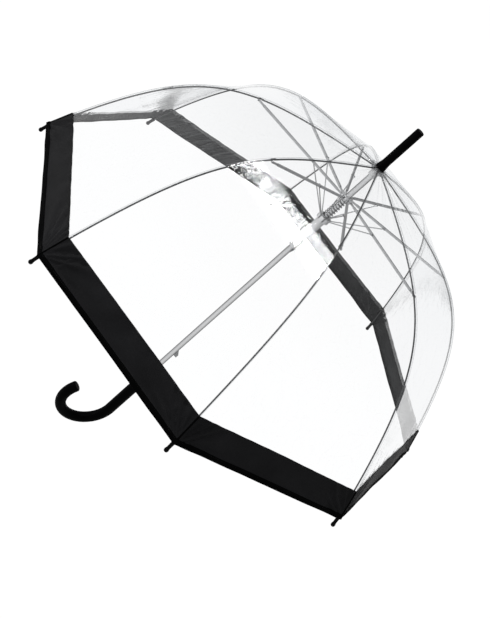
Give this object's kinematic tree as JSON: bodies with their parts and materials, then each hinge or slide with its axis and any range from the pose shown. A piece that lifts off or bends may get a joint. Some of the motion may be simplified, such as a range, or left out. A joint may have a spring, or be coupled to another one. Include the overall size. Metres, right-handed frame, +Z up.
{
  "type": "umbrella",
  "caption": "Clear dome umbrella, open, with a black fabric border, a folding rib frame on a sliding runner, and a crook handle.",
  "frame": {"origin": "on the shaft's axis, level with the lowest point of the crook handle", "axes": "+Z up the shaft to the ferrule; +X through rib 1"},
  "size_m": [0.8704, 0.8704, 0.8607],
  "materials": {
    "clear_film": "clear glossy film",
    "border_fabric": "tight black weave, satin",
    "black_plastic": "satin black",
    "grey_plastic": "pale grey moulded",
    "shaft_steel": "pale silver, satin",
    "rib_steel": "grey, satin; black caps on the tips",
    "stretcher_steel": "zinc-plated channel",
    "spring_steel": "bright wire"
  },
  "bodies": {
    "root": {"shaft": "shaft_steel", "ferrule": "black_plastic", "crown_notch": "grey_plastic", "handle": "black_plastic", "closing_strap": "border_fabric", "canopy_panel_1": "clear_film", "canopy_panel_2": "clear_film", "canopy_panel_3": "clear_film", "canopy_panel_4": "clear_film", "canopy_panel_5": "clear_film", "canopy_panel_6": "clear_film", "canopy_panel_7": "clear_film", "canopy_panel_8": "clear_film", "border_strip_1": "border_fabric", "border_strip_2": "border_fabric", "border_strip_3": "border_fabric", "border_strip_4": "border_fabric", "border_strip_5": "border_fabric", "border_strip_6": "border_fabric", "border_strip_7": "border_fabric", "border_strip_8": "border_fabric"},
    "runner": {"runner": "grey_plastic"},
    "hub": {"hub_notch": "grey_plastic", "runner_spring": "spring_steel"},
    "top_catch": {"top_catch": "spring_steel"},
    "bottom_catch": {"bottom_catch": "spring_steel"},
    "rib_upper_1": {"rib_upper_1": "rib_steel"},
    "rib_lower_1": {"rib_lower_1": "rib_steel"},
    "stretcher_1": {"stretcher_1": "stretcher_steel"},
    "push_rod_1": {"push_rod_1": "stretcher_steel"},
    "rib_upper_2": {"rib_upper_2": "rib_steel"},
    "rib_lower_2": {"rib_lower_2": "rib_steel"},
    "stretcher_2": {"stretcher_2": "stretcher_steel"},
    "push_rod_2": {"push_rod_2": "stretcher_steel"},
    "rib_upper_3": {"rib_upper_3": "rib_steel"},
    "rib_lower_3": {"rib_lower_3": "rib_steel"},
    "stretcher_3": {"stretcher_3": "stretcher_steel"},
    "push_rod_3": {"push_rod_3": "stretcher_steel"},
    "rib_upper_4": {"rib_upper_4": "rib_steel"},
    "rib_lower_4": {"rib_lower_4": "rib_steel"},
    "stretcher_4": {"stretcher_4": "stretcher_steel"},
    "push_rod_4": {"push_rod_4": "stretcher_steel"},
    "rib_upper_5": {"rib_upper_5": "rib_steel"},
    "rib_lower_5": {"rib_lower_5": "rib_steel"},
    "stretcher_5": {"stretcher_5": "stretcher_steel"},
    "push_rod_5": {"push_rod_5": "stretcher_steel"},
    "rib_upper_6": {"rib_upper_6": "rib_steel"},
    "rib_lower_6": {"rib_lower_6": "rib_steel"},
    "stretcher_6": {"stretcher_6": "stretcher_steel"},
    "push_rod_6": {"push_rod_6": "stretcher_steel"},
    "rib_upper_7": {"rib_upper_7": "rib_steel"},
    "rib_lower_7": {"rib_lower_7": "rib_steel"},
    "stretcher_7": {"stretcher_7": "stretcher_steel"},
    "push_rod_7": {"push_rod_7": "stretcher_steel"},
    "rib_upper_8": {"rib_upper_8": "rib_steel"},
    "rib_lower_8": {"rib_lower_8": "rib_steel"},
    "stretcher_8": {"stretcher_8": "stretcher_steel"},
    "push_rod_8": {"push_rod_8": "stretcher_steel"}
  },
  "joints": [
    {"name": "runner_slide", "type": "slide", "parent": "root", "child": "runner", "axis": [0, 0, -1], "range_m": [0, 0.30526], "deforming": ["canopy_panel_1", "canopy_panel_2", "canopy_panel_3", "canopy_panel_4", "canopy_panel_5", "canopy_panel_6", "canopy_panel_7", "canopy_panel_8", "border_strip_1", "border_strip_2", "border_strip_3", "border_strip_4", "border_strip_5", "border_strip_6", "border_strip_7", "border_strip_8", "closing_strap"]},
    {"name": "hub_slide", "type": "slide", "parent": "root", "child": "hub", "axis": [0, 0, -1], "range_m": [0, 0.33684], "deforming": ["runner_spring"]},
    {"name": "rib_1_crown", "type": "hinge", "parent": "root", "child": "rib_upper_1", "pos_m": [0.0086, 0, 0.77025], "axis": [0, 1, 0], "range_deg": [0, 66.69]},
    {"name": "rib_1_bend", "type": "hinge", "parent": "rib_upper_1", "child": "rib_lower_1", "pos_m": [0.21083, 0, 0.71729], "axis": [0, 1, 0], "range_deg": [-35.36, 0]},
    {"name": "stretcher_1_hub", "type": "hinge", "parent": "hub", "child": "stretcher_1", "pos_m": [0.009, 0.0036, 0.69965], "axis": [0, -1, 0], "range_deg": [0, 76.85]},
    {"name": "push_rod_1_runner", "type": "hinge", "parent": "runner", "child": "push_rod_1", "pos_m": [0.009, 0.0002, 0.64825], "axis": [0, -1, 0], "range_deg": [0, 45.05]},
    {"name": "rib_2_crown", "type": "hinge", "parent": "root", "child": "rib_upper_2", "pos_m": [0.00608, 0.00608, 0.77025], "axis": [-0.7071, 0.7071, 0], "range_deg": [0, 66.69]},
    {"name": "rib_2_bend", "type": "hinge", "parent": "rib_upper_2", "child": "rib_lower_2", "pos_m": [0.14908, 0.14908, 0.71729], "axis": [-0.7071, 0.7071, 0], "range_deg": [-35.36, 0]},
    {"name": "stretcher_2_hub", "type": "hinge", "parent": "hub", "child": "stretcher_2", "pos_m": [0.00382, 0.00891, 0.69965], "axis": [0.7071, -0.7071, 0], "range_deg": [0, 76.85]},
    {"name": "push_rod_2_runner", "type": "hinge", "parent": "runner", "child": "push_rod_2", "pos_m": [0.00622, 0.00651, 0.64825], "axis": [0.7071, -0.7071, 0], "range_deg": [0, 45.05]},
    {"name": "rib_3_crown", "type": "hinge", "parent": "root", "child": "rib_upper_3", "pos_m": [0, 0.0086, 0.77025], "axis": [-1, 0, 0], "range_deg": [0, 66.69]},
    {"name": "rib_3_bend", "type": "hinge", "parent": "rib_upper_3", "child": "rib_lower_3", "pos_m": [0, 0.21083, 0.71729], "axis": [-1, 0, 0], "range_deg": [-35.36, 0]},
    {"name": "stretcher_3_hub", "type": "hinge", "parent": "hub", "child": "stretcher_3", "pos_m": [-0.0036, 0.009, 0.69965], "axis": [1, 0, 0], "range_deg": [0, 76.85]},
    {"name": "push_rod_3_runner", "type": "hinge", "parent": "runner", "child": "push_rod_3", "pos_m": [-0.0002, 0.009, 0.64825], "axis": [1, 0, 0], "range_deg": [0, 45.05]},
    {"name": "rib_4_crown", "type": "hinge", "parent": "root", "child": "rib_upper_4", "pos_m": [-0.00608, 0.00608, 0.77025], "axis": [-0.7071, -0.7071, 0], "range_deg": [0, 66.69]},
    {"name": "rib_4_bend", "type": "hinge", "parent": "rib_upper_4", "child": "rib_lower_4", "pos_m": [-0.14908, 0.14908, 0.71729], "axis": [-0.7071, -0.7071, 0], "range_deg": [-35.36, 0]},
    {"name": "stretcher_4_hub", "type": "hinge", "parent": "hub", "child": "stretcher_4", "pos_m": [-0.00891, 0.00382, 0.69965], "axis": [0.7071, 0.7071, 0], "range_deg": [0, 76.85]},
    {"name": "push_rod_4_runner", "type": "hinge", "parent": "runner", "child": "push_rod_4", "pos_m": [-0.00651, 0.00622, 0.64825], "axis": [0.7071, 0.7071, 0], "range_deg": [0, 45.05]},
    {"name": "rib_5_crown", "type": "hinge", "parent": "root", "child": "rib_upper_5", "pos_m": [-0.0086, 0, 0.77025], "axis": [0, -1, 0], "range_deg": [0, 66.69]},
    {"name": "rib_5_bend", "type": "hinge", "parent": "rib_upper_5", "child": "rib_lower_5", "pos_m": [-0.21083, 0, 0.71729], "axis": [0, -1, 0], "range_deg": [-35.36, 0]},
    {"name": "stretcher_5_hub", "type": "hinge", "parent": "hub", "child": "stretcher_5", "pos_m": [-0.009, -0.0036, 0.69965], "axis": [0, 1, 0], "range_deg": [0, 76.85]},
    {"name": "push_rod_5_runner", "type": "hinge", "parent": "runner", "child": "push_rod_5", "pos_m": [-0.009, -0.0002, 0.64825], "axis": [0, 1, 0], "range_deg": [0, 45.05]},
    {"name": "rib_6_crown", "type": "hinge", "parent": "root", "child": "rib_upper_6", "pos_m": [-0.00608, -0.00608, 0.77025], "axis": [0.7071, -0.7071, 0], "range_deg": [0, 66.69]},
    {"name": "rib_6_bend", "type": "hinge", "parent": "rib_upper_6", "child": "rib_lower_6", "pos_m": [-0.14908, -0.14908, 0.71729], "axis": [0.7071, -0.7071, 0], "range_deg": [-35.36, 0]},
    {"name": "stretcher_6_hub", "type": "hinge", "parent": "hub", "child": "stretcher_6", "pos_m": [-0.00382, -0.00891, 0.69965], "axis": [-0.7071, 0.7071, 0], "range_deg": [0, 76.85]},
    {"name": "push_rod_6_runner", "type": "hinge", "parent": "runner", "child": "push_rod_6", "pos_m": [-0.00622, -0.00651, 0.64825], "axis": [-0.7071, 0.7071, 0], "range_deg": [0, 45.05]},
    {"name": "rib_7_crown", "type": "hinge", "parent": "root", "child": "rib_upper_7", "pos_m": [0, -0.0086, 0.77025], "axis": [1, 0, 0], "range_deg": [0, 66.69]},
    {"name": "rib_7_bend", "type": "hinge", "parent": "rib_upper_7", "child": "rib_lower_7", "pos_m": [0, -0.21083, 0.71729], "axis": [1, 0, 0], "range_deg": [-35.36, 0]},
    {"name": "stretcher_7_hub", "type": "hinge", "parent": "hub", "child": "stretcher_7", "pos_m": [0.0036, -0.009, 0.69965], "axis": [-1, 0, 0], "range_deg": [0, 76.85]},
    {"name": "push_rod_7_runner", "type": "hinge", "parent": "runner", "child": "push_rod_7", "pos_m": [0.0002, -0.009, 0.64825], "axis": [-1, 0, 0], "range_deg": [0, 45.05]},
    {"name": "rib_8_crown", "type": "hinge", "parent": "root", "child": "rib_upper_8", "pos_m": [0.00608, -0.00608, 0.77025], "axis": [0.7071, 0.7071, 0], "range_deg": [0, 66.69]},
    {"name": "rib_8_bend", "type": "hinge", "parent": "rib_upper_8", "child": "rib_lower_8", "pos_m": [0.14908, -0.14908, 0.71729], "axis": [0.7071, 0.7071, 0], "range_deg": [-35.36, 0]},
    {"name": "stretcher_8_hub", "type": "hinge", "parent": "hub", "child": "stretcher_8", "pos_m": [0.00891, -0.00382, 0.69965], "axis": [-0.7071, -0.7071, 0], "range_deg": [0, 76.85]},
    {"name": "push_rod_8_runner", "type": "hinge", "parent": "runner", "child": "push_rod_8", "pos_m": [0.00651, -0.00622, 0.64825], "axis": [-0.7071, -0.7071, 0], "range_deg": [0, 45.05]},
    {"name": "top_catch_press", "type": "slide", "parent": "root", "child": "top_catch", "axis": [0.9744, -0.225, 0], "range_m": [0, 0.0021], "stiffness_N_per_m": 150, "springref_m": -0.0015},
    {"name": "bottom_catch_press", "type": "slide", "parent": "root", "child": "bottom_catch", "axis": [0.9744, -0.225, 0], "range_m": [0, 0.0059], "stiffness_N_per_m": 150, "springref_m": -0.0015}
  ],
  "couplings": [
    {"joint": "hub_slide", "follows": "runner_slide", "ratio": 1.1035},
    {"joint": "rib_1_crown", "follows": "runner_slide", "rad_per_m": 3.8129},
    {"joint": "rib_1_bend", "follows": "runner_slide", "rad_per_m": -2.0217},
    {"joint": "stretcher_1_hub", "follows": "runner_slide", "rad_per_m": 4.3941},
    {"joint": "push_rod_1_runner", "follows": "runner_slide", "rad_per_m": 2.5759},
    {"joint": "rib_2_crown", "follows": "runner_slide", "rad_per_m": 3.8129},
    {"joint": "rib_2_bend", "follows": "runner_slide", "rad_per_m": -2.0217},
    {"joint": "stretcher_2_hub", "follows": "runner_slide", "rad_per_m": 4.3941},
    {"joint": "push_rod_2_runner", "follows": "runner_slide", "rad_per_m": 2.5759},
    {"joint": "rib_3_crown", "follows": "runner_slide", "rad_per_m": 3.8129},
    {"joint": "rib_3_bend", "follows": "runner_slide", "rad_per_m": -2.0217},
    {"joint": "stretcher_3_hub", "follows": "runner_slide", "rad_per_m": 4.3941},
    {"joint": "push_rod_3_runner", "follows": "runner_slide", "rad_per_m": 2.5759},
    {"joint": "rib_4_crown", "follows": "runner_slide", "rad_per_m": 3.8129},
    {"joint": "rib_4_bend", "follows": "runner_slide", "rad_per_m": -2.0217},
    {"joint": "stretcher_4_hub", "follows": "runner_slide", "rad_per_m": 4.3941},
    {"joint": "push_rod_4_runner", "follows": "runner_slide", "rad_per_m": 2.5759},
    {"joint": "rib_5_crown", "follows": "runner_slide", "rad_per_m": 3.8129},
    {"joint": "rib_5_bend", "follows": "runner_slide", "rad_per_m": -2.0217},
    {"joint": "stretcher_5_hub", "follows": "runner_slide", "rad_per_m": 4.3941},
    {"joint": "push_rod_5_runner", "follows": "runner_slide", "rad_per_m": 2.5759},
    {"joint": "rib_6_crown", "follows": "runner_slide", "rad_per_m": 3.8129},
    {"joint": "rib_6_bend", "follows": "runner_slide", "rad_per_m": -2.0217},
    {"joint": "stretcher_6_hub", "follows": "runner_slide", "rad_per_m": 4.3941},
    {"joint": "push_rod_6_runner", "follows": "runner_slide", "rad_per_m": 2.5759},
    {"joint": "rib_7_crown", "follows": "runner_slide", "rad_per_m": 3.8129},
    {"joint": "rib_7_bend", "follows": "runner_slide", "rad_per_m": -2.0217},
    {"joint": "stretcher_7_hub", "follows": "runner_slide", "rad_per_m": 4.3941},
    {"joint": "push_rod_7_runner", "follows": "runner_slide", "rad_per_m": 2.5759},
    {"joint": "rib_8_crown", "follows": "runner_slide", "rad_per_m": 3.8129},
    {"joint": "rib_8_bend", "follows": "runner_slide", "rad_per_m": -2.0217},
    {"joint": "stretcher_8_hub", "follows": "runner_slide", "rad_per_m": 4.3941},
    {"joint": "push_rod_8_runner", "follows": "runner_slide", "rad_per_m": 2.5759}
  ]
}
